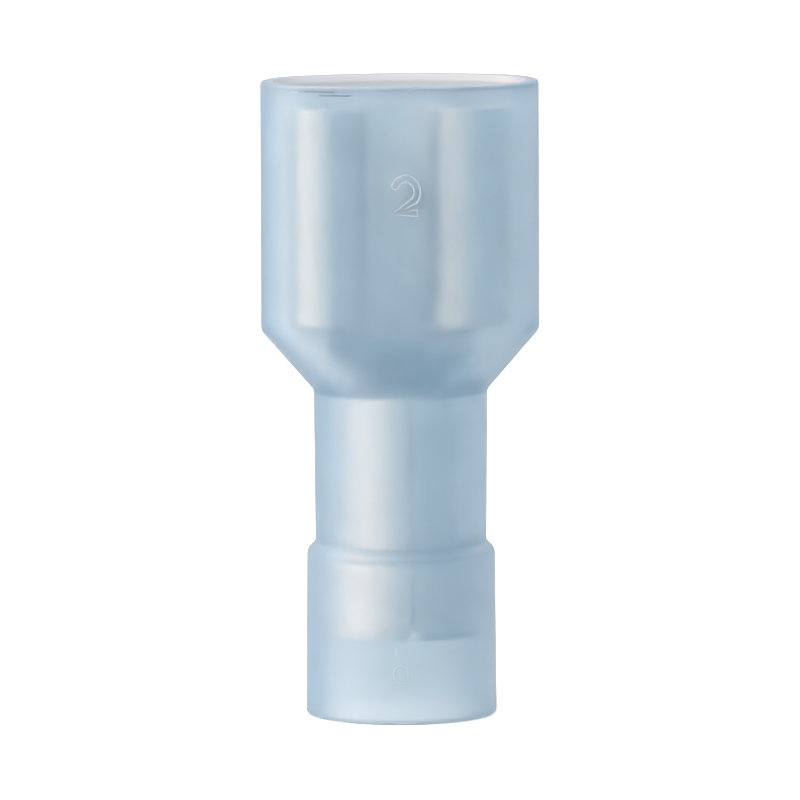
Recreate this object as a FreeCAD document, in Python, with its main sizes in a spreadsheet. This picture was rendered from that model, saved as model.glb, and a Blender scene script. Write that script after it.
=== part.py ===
import FreeCAD, Part
import math
import operator
import os

import Sketcher
from FreeCAD import Vector

# Insulated female spade terminal for a 6.35 x 0.81 mm tab, in millimetres.
#
# Three pieces make it. The receptacle terminal is one strip of tinned brass: two curls grip
# the tab, a channel narrows behind them and closes into the barrel that is crimped on the
# wire's strands. The support sleeve is one rolled strip of tinned copper that lies round the
# barrel and widens into a skirt, which is crimped on the wire's insulation. The insulating
# housing is one moulding in translucent nylon: an oval mouth, a sloping shoulder, a round neck
# and a wider round end where the wire enters.
#
# The origin is the centre of the wire end, +Z points to the mouth, X runs along the mouth's
# width, and the open side of the curls faces -Y.

SIZES = [
    ("tab_width", 6.35, "width of the tab that goes in"),
    ("tab_thickness", 0.81, "thickness of that tab"),
    ("tab_side_gap", 0.175, "room beside the tab, each side"),
    ("tab_face_gap", 0.04, "room over the tab before the curls spring"),
    ("strip_thickness", 0.4, "brass strip of the terminal"),
    ("lip_rise", 0.05, "straight end of each curl above its widest point"),
    ("lip_break", 0.12, "bevel at the receptacle's mouth"),
    ("receptacle_length", 7.54, "length of the curls"),
    ("dimple_width", 1.7, "detent that snaps into the tab's hole"),
    ("dimple_rise", 0.28, "how far the detent stands up"),
    ("dimple_depth", 3.3, "from the receptacle's mouth to the detent"),
    ("transition_length", 2.36, "from the curls to the barrel"),
    ("channel_width", 5.1, "width of the channel behind the curls"),
    ("channel_round", 0.9, "outer bend of that channel"),
    ("channel_sweep", 10, "degrees that its flanges go on past upright"),
    ("bowl_height", 0.95, "height over the barrel where the channel turns in"),
    ("bowl_width", 4.7, "width of the channel there"),
    ("bowl_round", 1.25, "outer bend of the channel there"),
    ("bowl_offset", 0.1, "back of the channel there, beyond the receptacle's base"),
    ("bowl_sweep", 10, "degrees that its flanges go on past upright there"),
    ("barrel_mouth_sweep", 25, "degrees past upright where they meet the barrel's end"),
    ("barrel_bore", 2.3, "bore of the wire barrel"),
    ("barrel_end_gap", 0.15, "barrel's end above the height where the sleeve widens inside"),
    ("barrel_seam", 2, "degrees from the barrel's front to each edge of its butt seam"),
    ("sleeve_fit", 0.02, "radial room between barrel and sleeve"),
    ("sleeve_wall", 0.45, "copper strip of the sleeve"),
    ("sleeve_setback", 0.05, "sleeve's front end behind the neck's bore edge"),
    ("sleeve_seat_gap", 0.05, "height between the sleeve's step and its seat"),
    ("skirt_bore", 4.1, "bore for the wire's insulation"),
    ("skirt_length", 2.62, "sleeve's wide part, below its step"),
    ("bell_length", 1.08, "flared end of the skirt"),
    ("bell_rise", 0.1, "radial growth of that flare"),
    ("seam_gap", 0.1, "butt seam of the rolled sleeve"),
    ("seam_angle", 6, "degrees that the sleeve's seam lies off the front"),
    ("notch_width", 0.5, "where the seam opens at the flared end"),
    ("notch_height", 0.42, "height of that opening"),
    ("housing_fit", 0.05, "radial room between sleeve and neck"),
    ("bell_fit", 0.02, "radial room between the skirt's flare and the housing"),
    ("neck_wall", 0.88, "nylon round the neck"),
    ("neck_draft", 0.045, "growth of the neck's radius towards the mouth"),
    ("neck_length", 5.245, "round neck"),
    ("flare_wall", 0.62, "nylon round the wire entry"),
    ("flare_draft", 0.05, "growth of the wire entry's radius towards its end"),
    ("flare_length", 5.72, "wire entry up to its shoulder"),
    ("flare_step", 0.3, "height of that shoulder"),
    ("flare_round", 0.35, "rounding of that shoulder"),
    ("seat_drop", 0.35, "inner seat of the sleeve below that shoulder"),
    ("mouth_wall", 0.65, "nylon round the mouth"),
    ("mouth_recess", 0.86, "receptacle's mouth behind the rim"),
    ("mouth_end_inset", 0.45, "how much tighter the mouth's ends are than half its depth"),
    ("cavity_side_gap", 0.4, "room beside the receptacle, each side"),
    ("cavity_face_gap", 0.5, "room in front of and behind the receptacle"),
    ("shoulder_length", 2.06, "slope from the mouth to the neck"),
    ("shoulder_round", 0.16, "reach, each way, of the rounding between mouth and slope"),
    ("seat_gap", 0.437, "height of the curls over the slope inside"),
    ("rim_lead_in", 0.2, "bevel inside the rim"),
    ("wire_end_round", 0.2, "rounding outside the wire end"),
    ("wire_end_lead_in", 0.1, "bevel inside the wire end"),
]

SHOULDER_STEPS = 2

OPERATIONS = {"+": operator.add, "-": operator.sub, "*": operator.mul, "/": operator.truediv}


class Size:
    """A number together with the formula that gives it in the document."""

    def __init__(self, value, formula):
        self.value = value
        self.formula = formula

    def __add__(self, other):
        return combine(self, "+", other)

    def __radd__(self, other):
        return combine(other, "+", self)

    def __sub__(self, other):
        return combine(self, "-", other)

    def __rsub__(self, other):
        return combine(other, "-", self)

    def __mul__(self, other):
        return combine(self, "*", other)

    def __rmul__(self, other):
        return combine(other, "*", self)

    def __truediv__(self, other):
        return combine(self, "/", other)

    def __neg__(self):
        return Size(-self.value, f"(-{self.formula})")


def as_size(thing):
    """A plain number is its own formula."""
    return thing if isinstance(thing, Size) else Size(thing, str(thing))


def combine(left, sign, right):
    left = as_size(left)
    right = as_size(right)
    value = OPERATIONS[sign](left.value, right.value)
    return Size(value, f"({left.formula} {sign} {right.formula})")


def root(size):
    return Size(math.sqrt(size.value), f"sqrt({size.formula})")


def cosine(degrees):
    return Size(math.cos(math.radians(degrees.value)), f"cos({degrees.formula})")


def sine(degrees):
    return Size(math.sin(math.radians(degrees.value)), f"sin({degrees.formula})")


def smaller(first, second):
    return Size(min(first.value, second.value), f"min({first.formula}; {second.formula})")


class Sheet:
    """The driving dimensions, one cell and alias each, read as sheet.alias."""

    def __init__(self, document):
        self.cells = document.addObject("Spreadsheet::Sheet", "Sizes")
        for row, (alias, value, note) in enumerate(SIZES, start=1):
            self.cells.set(f"A{row}", alias)
            self.cells.set(f"B{row}", str(value))
            self.cells.setAlias(f"B{row}", alias)
            self.cells.set(f"C{row}", note)
            setattr(self, alias, Size(float(value), f"Sizes.{alias}"))
        document.recompute()


class Derived:
    """Sizes that follow from the driving ones, each with its formula in the document."""

    def __init__(self, document):
        self.holder = document.addObject("App::VarSet", "Derived")

    def keep(self, name, size):
        """Stores a formula under its name and gives back a size that refers to it."""
        self.holder.addProperty("App::PropertyFloat", name, "Derived")
        self.holder.setExpression(name, size.formula)
        return Size(size.value, f"Derived.{name}")


class Layout:
    """Radii and heights of the three pieces, worked out from the inside to the outside."""

    def __init__(self, s, derived):
        def keep(name, size):
            setattr(self, name, derived.keep(name, size))

        # Receptacle, from the tab outwards.
        keep("curl_bore_radius", s.tab_thickness + s.tab_face_gap + s.lip_rise)
        keep("curl_radius", self.curl_bore_radius + s.strip_thickness)
        keep("curl_x", s.tab_width / 2 + s.tab_side_gap - self.curl_bore_radius)

        # Barrel, sleeve, neck and wire entry, from the wire outwards.
        keep("barrel_radius", s.barrel_bore / 2 + s.strip_thickness)
        keep("sleeve_bore_radius", self.barrel_radius + s.sleeve_fit)
        keep("sleeve_radius", self.sleeve_bore_radius + s.sleeve_wall)
        keep("skirt_radius", s.skirt_bore / 2 + s.sleeve_wall)
        keep("neck_bore_radius", self.sleeve_radius + s.housing_fit)
        keep("entry_bore_radius", self.skirt_radius + s.bell_rise + s.bell_fit)
        keep("neck_foot_radius", self.neck_bore_radius + s.neck_wall)
        keep("neck_top_radius", self.neck_foot_radius + s.neck_draft)
        keep("flare_top_radius", self.entry_bore_radius + s.flare_wall)
        keep("flare_foot_radius", self.flare_top_radius + s.flare_draft)

        # Mouth: an oval of four arcs, whose inner wall runs parallel to its outer one.
        keep("cavity_half_width", self.curl_x + self.curl_radius + s.cavity_side_gap)
        keep("cavity_half_depth", self.curl_radius + s.cavity_face_gap)
        keep("mouth_half_width", self.cavity_half_width + s.mouth_wall)
        keep("mouth_half_depth", self.cavity_half_depth + s.mouth_wall)
        keep("end_radius", self.mouth_half_depth - s.mouth_end_inset)
        keep("end_x", self.mouth_half_width - self.end_radius)
        reach = self.end_x * self.end_x / s.mouth_end_inset
        keep("crown_radius", (reach + self.end_radius + self.mouth_half_depth) / 2)
        keep("crown_y", self.crown_radius - self.mouth_half_depth)

        # Direction, from an end's centre, of the point where its arc meets the crowned face.
        keep("meet_x", self.end_x / (self.crown_radius - self.end_radius))
        keep("meet_y", self.crown_y / (self.crown_radius - self.end_radius))

        # Heights of the housing.
        keep("neck_foot", s.flare_length + s.flare_step)
        keep("neck_top", self.neck_foot + s.neck_length)
        keep("shoulder_top", self.neck_top + s.shoulder_length)
        keep("slope", (self.mouth_half_width - self.neck_top_radius) / s.shoulder_length)
        lift = (root(self.slope * self.slope + 1) - 1) / self.slope
        keep("cavity_foot", self.shoulder_top + s.mouth_wall * lift)
        bore_drop = (self.cavity_half_width - self.neck_bore_radius) / self.slope
        keep("bore_top", self.cavity_foot - bore_drop)
        keep("entry_top", s.flare_length - s.seat_drop)
        keep("bore_foot", self.entry_top + self.entry_bore_radius - self.neck_bore_radius)

        # Heights of the terminal, whose curls stand just over the slope inside the housing.
        keep("receptacle_back", self.cavity_foot - s.cavity_side_gap / self.slope + s.seat_gap)
        keep("receptacle_front", self.receptacle_back + s.receptacle_length)
        keep("rim", self.receptacle_front + s.mouth_recess)
        keep("barrel_top", self.receptacle_back - s.transition_length)
        keep("dimple_z", self.receptacle_front - s.dimple_depth)

        # Heights of the sleeve, whose step seats under the housing's.
        seat = self.entry_top + self.entry_bore_radius - self.skirt_radius
        keep("sleeve_step", seat - s.sleeve_seat_gap)
        keep("sleeve_neck", self.sleeve_step + self.skirt_radius - self.sleeve_radius)
        keep("sleeve_top", self.bore_top - s.sleeve_setback)
        keep("skirt_end", self.sleeve_step - s.skirt_length)

        # Heights inside the sleeve, whose wall keeps its thickness round the step.
        wall_lift = s.sleeve_wall * (math.sqrt(2) - 1)
        keep("skirt_bore_top", self.sleeve_step - wall_lift)
        keep("sleeve_bore_foot", self.sleeve_neck - wall_lift)
        keep("barrel_end", self.skirt_bore_top + s.barrel_end_gap)


def new_body(document, name):
    body = document.addObject("PartDesign::Body", name)
    body.Label = name
    return body


def new_sketch(body, name, plane, height=0):
    """A sketch on one of the body's own planes, lifted off it by a height."""
    sketch = body.newObject("Sketcher::SketchObject", name)
    origin_plane = next(item for item in body.Origin.OriginFeatures if item.Role == plane)
    sketch.AttachmentSupport = [(origin_plane, "")]
    sketch.MapMode = "FlatFace"
    if isinstance(height, Size):
        sketch.AttachmentOffset.Base.z = height.value
        sketch.setExpression("AttachmentOffset.Base.z", height.formula)
    return sketch


def line_to(x, y):
    return {"corner": (as_size(x), as_size(y)), "centre": None}


def arc_to(x, y, centre, radius, clockwise=False):
    return {
        "corner": (as_size(x), as_size(y)),
        "centre": (as_size(centre[0]), as_size(centre[1])),
        "radius": radius,
        "clockwise": clockwise,
    }


def point(corner):
    return Vector(corner[0].value, corner[1].value, 0)


def bind(sketch, constraint, formula):
    index = sketch.addConstraint(constraint)
    sketch.setExpression(f"Constraints[{index}]", formula)


def bind_corner(sketch, edge, end, corner):
    """Ties one end of an edge to its formulas, or to an axis where it lies on one."""
    axes = (("DistanceX", -2), ("DistanceY", -1))
    for (kind, axis), size in zip(axes, corner):
        if size.formula == "0":
            sketch.addConstraint(Sketcher.Constraint("PointOnObject", edge, end, axis))
        else:
            bind(sketch, Sketcher.Constraint(kind, -1, 1, edge, end, size.value), size.formula)


def draw(sketch, start, steps):
    """Draws a closed outline; every corner and every arc's radius is bound to its formula."""
    start_end, far_end = 1, 2
    here = (as_size(start[0]), as_size(start[1]))
    ends = []
    for edge, step in enumerate(steps):
        first, last = point(here), point(step["corner"])
        if step["centre"] is None:
            sketch.addGeometry(Part.LineSegment(first, last))
            ends.append((start_end, far_end))
        else:
            centre = point(step["centre"])
            if step["clockwise"]:
                first, last = last, first
                ends.append((far_end, start_end))
            else:
                ends.append((start_end, far_end))
            from_angle = math.atan2(first.y - centre.y, first.x - centre.x)
            to_angle = math.atan2(last.y - centre.y, last.x - centre.x)
            circle = Part.Circle(centre, Vector(0, 0, 1), step["radius"].value)
            sketch.addGeometry(Part.ArcOfCircle(circle, from_angle, to_angle))
        here = step["corner"]
    for edge, step in enumerate(steps):
        following = (edge + 1) % len(steps)
        joined = (edge, ends[edge][1], following, ends[following][0])
        sketch.addConstraint(Sketcher.Constraint("Coincident", *joined))
        bind_corner(sketch, edge, ends[edge][1], step["corner"])
        if step["centre"] is not None:
            radius = step["radius"]
            constraint = Sketcher.Constraint("Radius", edge, radius.value)
            bind(sketch, constraint, radius.formula)


def draw_oval(sketch, lay, end_x, end_radius, crown_y, crown_radius):
    """Four arcs that meet where the ends' directions say; with equal radii it is a circle."""
    x = end_x + end_radius * lay.meet_x
    y = end_radius * lay.meet_y
    draw(sketch, (x, -y), [
        arc_to(x, y, (end_x, 0), end_radius),
        arc_to(-x, y, (0, -as_size(crown_y)), crown_radius),
        arc_to(-x, -y, (-as_size(end_x), 0), end_radius),
        arc_to(x, -y, (0, crown_y), crown_radius),
    ])


def draw_mouth(sketch, lay, inset=0):
    """The mouth's oval, or one that runs parallel to it further in."""
    end_radius = lay.end_radius - inset
    crown_radius = lay.crown_radius - inset
    draw_oval(sketch, lay, lay.end_x, end_radius, lay.crown_y, crown_radius)


def draw_round(sketch, lay, radius):
    draw_oval(sketch, lay, Size(0, "0"), radius, Size(0, "0"), radius)


def draw_shoulder_sections(body, s, lay):
    """Sections that round the corner between slope and mouth along a parabola.

    Each is a mix of the neck's circle and the mouth's oval, as every level cut through the
    slope is, so the corner is rounded at the mouth's ends and along its faces alike.
    """
    steepness = root(lay.slope * lay.slope + 1)
    width_change = lay.mouth_half_width - lay.neck_top_radius
    sketches = []
    for step in range(SHOULDER_STEPS, -1, -1):
        along = step / SHOULDER_STEPS
        back = s.shoulder_round * along * along
        height = lay.shoulder_top + s.shoulder_round * (1 - along) * (1 - along) - back / steepness
        mouth_share = 1 - back * lay.slope / steepness / width_change
        neck_part = lay.neck_top_radius * (1 - mouth_share)
        sketch = new_sketch(body, f"ShoulderSection{step}", "XY_Plane", height)
        draw_oval(sketch, lay, lay.end_x * mouth_share, lay.end_radius * mouth_share + neck_part,
                  lay.crown_y * mouth_share, lay.crown_radius * mouth_share + neck_part)
        sketches.append(sketch)
    return sketches


def feature(body, kind, name, profile):
    """Adds a feature that works on a sketch, and makes it the body's newest."""
    item = body.newObject(f"PartDesign::{kind}", name)
    item.Profile = profile
    profile.Visibility = False
    body.Tip = item
    return item


def set_length(item, length, is_reversed=False):
    item.Type = 0
    item.Length = length.value
    item.setExpression("Length", length.formula)
    item.Reversed = is_reversed


def turn_round(item, profile):
    item.ReferenceAxis = (profile, ["V_Axis"])
    item.Angle = 360


def edge_names(body, height, wanted):
    """Names of the body's edges that lie level at a height and pass a test of their centre."""
    names = []
    for number, edge in enumerate(body.Tip.Shape.Edges, start=1):
        box = edge.BoundBox
        level = box.ZLength < 1e-4 and abs(box.ZMin - height.value) < 1e-4
        if level and wanted(edge):
            names.append(f"Edge{number}")
    return names


def dress(body, kind, name, edges, size):
    """Rounds or bevels edges of the body's newest feature."""
    base = body.Tip
    item = body.newObject(f"PartDesign::{kind}", name)
    item.Base = (base, edges)
    attribute = "Radius" if kind == "Fillet" else "Size"
    setattr(item, attribute, size.value)
    item.setExpression(attribute, size.formula)
    body.Tip = item
    return item


def farthest(edge):
    """Largest distance of an edge from the terminal's axis."""
    return max(math.hypot(place.x, place.y) for place in edge.discretize(9))


def make_housing(document, s, lay):
    """Moulded nylon: wire entry and neck turned, shoulder lofted, mouth padded, then hollowed."""
    body = new_body(document, "insulating_housing")

    profile = new_sketch(body, "EntryAndNeckProfile", "XZ_Plane")
    draw(profile, (0, 0), [
        line_to(lay.flare_foot_radius, 0),
        line_to(lay.flare_top_radius, s.flare_length),
        line_to(lay.neck_foot_radius, lay.neck_foot),
        line_to(lay.neck_top_radius, lay.neck_top),
        line_to(0, lay.neck_top),
        line_to(0, 0),
    ])
    turn_round(feature(body, "Revolution", "EntryAndNeck", profile), profile)

    slope_foot = new_sketch(body, "SlopeFoot", "XY_Plane", lay.neck_top)
    draw_round(slope_foot, lay, lay.neck_top_radius)
    slope = feature(body, "AdditiveLoft", "Slope", slope_foot)
    slope.Sections = draw_shoulder_sections(body, s, lay)
    slope.Ruled = True

    mouth_foot = lay.shoulder_top + s.shoulder_round
    mouth_outline = new_sketch(body, "MouthOutline", "XY_Plane", mouth_foot)
    draw_mouth(mouth_outline, lay)
    mouth = feature(body, "Pad", "Mouth", mouth_outline)
    set_length(mouth, lay.rim - mouth_foot)

    cavity_outline = new_sketch(body, "CavityOutline", "XY_Plane", lay.cavity_foot)
    draw_mouth(cavity_outline, lay, s.mouth_wall)
    cavity = feature(body, "Pocket", "Cavity", cavity_outline)
    set_length(cavity, lay.rim - lay.cavity_foot, is_reversed=True)

    inner_foot = new_sketch(body, "InnerSlopeFoot", "XY_Plane", lay.bore_top)
    draw_round(inner_foot, lay, lay.neck_bore_radius)
    inner_head = new_sketch(body, "InnerSlopeHead", "XY_Plane", lay.cavity_foot)
    draw_mouth(inner_head, lay, s.mouth_wall)
    inner_slope = feature(body, "SubtractiveLoft", "InnerSlope", inner_foot)
    inner_slope.Sections = [inner_head]
    inner_slope.Ruled = True

    bore_profile = new_sketch(body, "BoreProfile", "XZ_Plane")
    draw(bore_profile, (0, 0), [
        line_to(lay.entry_bore_radius, 0),
        line_to(lay.entry_bore_radius, lay.entry_top),
        line_to(lay.neck_bore_radius, lay.bore_foot),
        line_to(lay.neck_bore_radius, lay.bore_top),
        line_to(0, lay.bore_top),
        line_to(0, 0),
    ])
    turn_round(feature(body, "Groove", "Bore", bore_profile), bore_profile)
    document.recompute()

    middle_of_rim = lay.mouth_half_depth.value - s.mouth_wall.value / 2
    middle_of_end = lay.flare_foot_radius.value - s.flare_wall.value / 2
    rounds = [
        ("Fillet", "FlareRound", s.flare_length, lambda edge: True, s.flare_round),
        ("Fillet", "WireEndRound", as_size(0.0), lambda edge: farthest(edge) > middle_of_end,
         smaller(s.wire_end_round, s.flare_wall / 2)),
        ("Chamfer", "WireEndLeadIn", as_size(0.0), lambda edge: farthest(edge) < middle_of_end,
         smaller(s.wire_end_lead_in, s.flare_wall / 4)),
        ("Chamfer", "RimLeadIn", lay.rim, lambda edge: not reaches(edge, lay, middle_of_rim),
         smaller(s.rim_lead_in, s.mouth_wall / 2)),
    ]
    for kind, name, height, wanted, size in rounds:
        dress(body, kind, name, edge_names(body, height, wanted), size)
        document.recompute()
    return body


def reaches(edge, lay, depth):
    """Whether an edge of the rim belongs to its outer loop, from its ends' and face's reach."""
    box = edge.BoundBox
    past_face = max(abs(box.YMin), abs(box.YMax)) > depth
    past_end = max(abs(box.XMin), abs(box.XMax)) > lay.cavity_half_width.value + 1e-3
    return past_face or past_end


def draw_channel(sketch, strip, bend_x, outer_round, back, start, sweep):
    """An open channel of strip: a flat back, and a bend each side that goes on to the front.

    bend_x is how far each bend's centre lies from the middle, back is the back's outer face,
    start is how many degrees of the bend the flat takes up, and sweep is how many degrees
    the bend goes on past the channel's widest point.
    """
    inner_round = outer_round - strip
    middle = back - outer_round
    right = (bend_x, middle)
    left = (-bend_x, middle)

    def on_bend(radius, sideways, backwards):
        return bend_x + radius * sideways, middle + radius * backwards

    outer_back = on_bend(outer_round, sine(start), cosine(start))
    inner_back = on_bend(inner_round, sine(start), cosine(start))
    outer_side = on_bend(outer_round, as_size(1), as_size(0))
    inner_side = on_bend(inner_round, as_size(1), as_size(0))
    outer_lip = on_bend(outer_round, cosine(sweep), -sine(sweep))
    inner_lip = on_bend(inner_round, cosine(sweep), -sine(sweep))
    draw(sketch, mirrored(outer_back), [
        line_to(*outer_back),
        arc_to(*outer_side, right, outer_round, clockwise=True),
        arc_to(*outer_lip, right, outer_round, clockwise=True),
        line_to(*inner_lip),
        arc_to(*inner_side, right, inner_round),
        arc_to(*inner_back, right, inner_round),
        line_to(*mirrored(inner_back)),
        arc_to(*mirrored(inner_side), left, inner_round),
        arc_to(*mirrored(inner_lip), left, inner_round),
        line_to(*mirrored(outer_lip)),
        arc_to(*mirrored(outer_side), left, outer_round, clockwise=True),
        arc_to(*mirrored(outer_back), left, outer_round, clockwise=True),
    ])


def mirrored(corner):
    return -corner[0], corner[1]


def draw_receptacle(sketch, s, lay):
    """The strip's section across the curls, seen from the mouth's side."""
    outer = lay.curl_radius
    inner = lay.curl_bore_radius
    right = (lay.curl_x, 0)
    left = (-lay.curl_x, 0)
    lip_outside = lay.curl_x - outer
    lip_inside = lay.curl_x - inner
    draw(sketch, (-lay.curl_x, outer), [
        line_to(lay.curl_x, outer),
        arc_to(lip_outside, 0, right, outer, clockwise=True),
        line_to(lip_outside, s.lip_rise),
        line_to(lip_inside, s.lip_rise),
        line_to(lip_inside, 0),
        arc_to(lay.curl_x, inner, right, inner),
        line_to(-lay.curl_x, inner),
        arc_to(-lip_inside, 0, left, inner),
        line_to(-lip_inside, s.lip_rise),
        line_to(-lip_outside, s.lip_rise),
        line_to(-lip_outside, 0),
        arc_to(-lay.curl_x, outer, left, outer, clockwise=True),
    ])


def make_terminal(document, s, lay):
    """Rolled brass strip: curls padded, channel lofted to the barrel, detent turned."""
    body = new_body(document, "receptacle_terminal")

    curls = new_sketch(body, "CurlSection", "XY_Plane", lay.receptacle_back)
    draw_receptacle(curls, s, lay)
    set_length(feature(body, "Pad", "Curls", curls), s.receptacle_length)

    no_turn = as_size(0)
    barrel = (as_size(0), lay.barrel_radius, lay.barrel_radius, s.barrel_seam)
    sections = [
        ("ChannelSection", lay.receptacle_back, s.channel_width / 2 - s.channel_round,
         s.channel_round, lay.curl_radius, no_turn, s.channel_sweep),
        ("BowlSection", lay.barrel_top + s.bowl_height, s.bowl_width / 2 - s.bowl_round,
         s.bowl_round, lay.curl_radius + s.bowl_offset, no_turn, s.bowl_sweep),
        ("BarrelMouthSection", lay.barrel_top, *barrel, s.barrel_mouth_sweep),
    ]
    sketches = []
    for name, height, *shape in sections:
        sketch = new_sketch(body, name, "XY_Plane", height)
        draw_channel(sketch, s.strip_thickness, *shape)
        sketches.append(sketch)
    channel = feature(body, "AdditiveLoft", "Channel", sketches[0])
    channel.Sections = sketches[1:]
    channel.Ruled = False

    barrel_section = new_sketch(body, "BarrelSection", "XY_Plane", lay.barrel_top)
    draw_channel(barrel_section, s.strip_thickness, *barrel, 90 - s.barrel_seam)
    barrel_pad = feature(body, "Pad", "Barrel", barrel_section)
    set_length(barrel_pad, lay.barrel_top - lay.barrel_end, is_reversed=True)
    add_detent(body, s, lay)
    document.recompute()

    # The bevel at the base's front edge runs on round both curls to their lips.
    front_edges = edge_names(body, lay.receptacle_front, lambda edge: is_base_edge(edge, lay))
    dress(body, "Chamfer", "MouthBreak", front_edges, smaller(s.lip_break, s.strip_thickness / 2))
    document.recompute()
    return body


def is_base_edge(edge, lay):
    """Whether an edge lies along the inner face of the receptacle's base."""
    box = edge.BoundBox
    return max(abs(box.YMin - lay.curl_bore_radius.value), box.YLength) < 1e-3


def add_detent(body, s, lay):
    """A dome pressed out of the receptacle's base towards the tab, hollow from behind."""
    half = s.dimple_width / 2
    dome_radius = (half * half / s.dimple_rise + s.dimple_rise) / 2
    face = lay.curl_bore_radius
    top = face - s.dimple_rise
    dome_centre = (0, top + dome_radius)
    dome = new_sketch(body, "DetentDome", "XY_Plane", lay.dimple_z)
    draw(dome, (0, top), [
        arc_to(half, face, dome_centre, dome_radius),
        line_to(0, face),
        line_to(0, top),
    ])
    turn_round(feature(body, "Revolution", "Detent", dome), dome)

    # The hollow is the same dome one strip further back, so the strip keeps its thickness.
    back = lay.curl_radius
    hollow_top = top + s.strip_thickness
    hollow_radius = dome_radius - s.strip_thickness / 2
    depth = back - hollow_top
    hollow_half = root((hollow_radius + hollow_radius - depth) * depth)
    hollow_centre = (0, hollow_top + hollow_radius)
    hollow = new_sketch(body, "DetentHollow", "XY_Plane", lay.dimple_z)
    draw(hollow, (0, hollow_top), [
        arc_to(hollow_half, back, hollow_centre, hollow_radius),
        line_to(0, back),
        line_to(0, hollow_top),
    ])
    turn_round(feature(body, "Groove", "DetentBack", hollow), hollow)


def make_sleeve(document, s, lay):
    """Rolled copper strip: wall turned, then the seam and its open end cut at the front."""
    body = new_body(document, "support_sleeve")
    bell_start = lay.skirt_end + s.bell_length
    skirt_bore_radius = s.skirt_bore / 2

    profile = new_sketch(body, "WallProfile", "XZ_Plane")
    draw(profile, (lay.sleeve_bore_radius, lay.sleeve_top), [
        line_to(lay.sleeve_radius, lay.sleeve_top),
        line_to(lay.sleeve_radius, lay.sleeve_neck),
        line_to(lay.skirt_radius, lay.sleeve_step),
        line_to(lay.skirt_radius, bell_start),
        line_to(lay.skirt_radius + s.bell_rise, lay.skirt_end),
        line_to(skirt_bore_radius + s.bell_rise, lay.skirt_end),
        line_to(skirt_bore_radius, bell_start),
        line_to(skirt_bore_radius, lay.skirt_bore_top),
        line_to(lay.sleeve_bore_radius, lay.sleeve_bore_foot),
        line_to(lay.sleeve_bore_radius, lay.sleeve_top),
    ])
    turn_round(feature(body, "Revolution", "Wall", profile), profile)

    half_gap = s.seam_gap / 2
    half_notch = s.notch_width / 2
    notch_top = lay.skirt_end + s.notch_height
    seam = new_sketch(body, "SeamOutline", "XZ_Plane")
    draw(seam, (-half_gap, lay.sleeve_top), [
        line_to(half_gap, lay.sleeve_top),
        line_to(half_gap, notch_top),
        line_to(half_notch, lay.skirt_end),
        line_to(-half_notch, lay.skirt_end),
        line_to(-half_gap, notch_top),
        line_to(-half_gap, lay.sleeve_top),
    ])
    cut = feature(body, "Pocket", "Seam", seam)
    set_length(cut, lay.skirt_radius + s.bell_rise + s.sleeve_wall, is_reversed=True)

    body.Placement.Rotation = FreeCAD.Rotation(Vector(0, 0, 1), s.seam_angle.value)
    body.setExpression("Placement.Rotation.Angle", f"{s.seam_angle.formula} * 1 deg")
    document.recompute()
    return body


def check(document, pieces):
    """Stops the script where a feature failed or a piece isn't one valid solid."""
    for item in document.Objects:
        if "Invalid" in item.State or "Error" in item.State:
            raise RuntimeError(f"{item.Label} failed: {item.State}")
    for piece in pieces:
        shape = piece.Shape
        if shape.isNull() or not shape.isValid() or len(shape.Solids) != 1:
            raise RuntimeError(f"{piece.Label} is not one valid solid")


def main():
    document = FreeCAD.newDocument("InsulatedFemaleSpadeTerminal")
    sheet = Sheet(document)
    lay = Layout(sheet, Derived(document))
    document.recompute()
    pieces = [
        make_housing(document, sheet, lay),
        make_terminal(document, sheet, lay),
        make_sleeve(document, sheet, lay),
    ]
    document.recompute()
    check(document, pieces)
    os.makedirs("parts", exist_ok=True)
    for piece in pieces:
        piece.Shape.exportStep(f"parts/{piece.Label}.step")
        box = piece.Shape.optimalBoundingBox(True, False)
        print(f"{piece.Label}: {piece.Shape.Volume:.2f} mm3,"
              f" x {box.XMin:.3f} to {box.XMax:.3f}, y {box.YMin:.3f} to {box.YMax:.3f},"
              f" z {box.ZMin:.3f} to {box.ZMax:.3f}")


main()
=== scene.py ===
# %% [markdown]
# # An insulated female spade terminal in Blender
#
# A spade terminal is crimped on the end of a wire and slides onto a flat tab. This one is
# fully insulated: a milky, pale blue nylon housing goes round a rolled metal receptacle, so
# most of the metal is seen through the plastic. This lesson starts from a fixed frame that
# the CAD model gives, rebuilds each piece with softer edges and finer forms than a CAD solid
# has, and then spends its effort on two finishes, cloudy nylon and tin-plated strip.
#
# The frame could be left as it is and only painted. It is rebuilt here because light that
# goes through a wall shows every facet of it, so the housing needs smooth, rounded walls.

# %% The frame
import math

import bmesh
import bpy
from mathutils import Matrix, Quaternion, Vector


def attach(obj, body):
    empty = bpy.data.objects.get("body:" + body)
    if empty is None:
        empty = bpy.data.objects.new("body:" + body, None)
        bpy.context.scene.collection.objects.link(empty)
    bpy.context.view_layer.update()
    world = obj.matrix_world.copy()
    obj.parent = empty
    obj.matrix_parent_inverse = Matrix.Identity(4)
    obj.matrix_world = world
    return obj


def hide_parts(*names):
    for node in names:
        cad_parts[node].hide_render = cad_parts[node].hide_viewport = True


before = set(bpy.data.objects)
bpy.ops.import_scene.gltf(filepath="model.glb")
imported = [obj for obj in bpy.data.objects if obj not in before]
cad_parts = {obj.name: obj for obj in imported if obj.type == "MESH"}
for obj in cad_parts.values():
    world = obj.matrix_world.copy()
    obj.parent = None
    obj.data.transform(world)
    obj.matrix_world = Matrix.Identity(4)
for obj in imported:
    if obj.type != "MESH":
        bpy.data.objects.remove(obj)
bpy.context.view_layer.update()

scene = bpy.context.scene
print("CAD nodes:", ", ".join(sorted(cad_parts)))

# %% [markdown]
# ## Units
#
# The drawings of such a small part are in millimetres, while Blender and the frame work in
# metres. One constant turns the first into the second, so every size below can be read as it
# would stand on a drawing.

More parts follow.
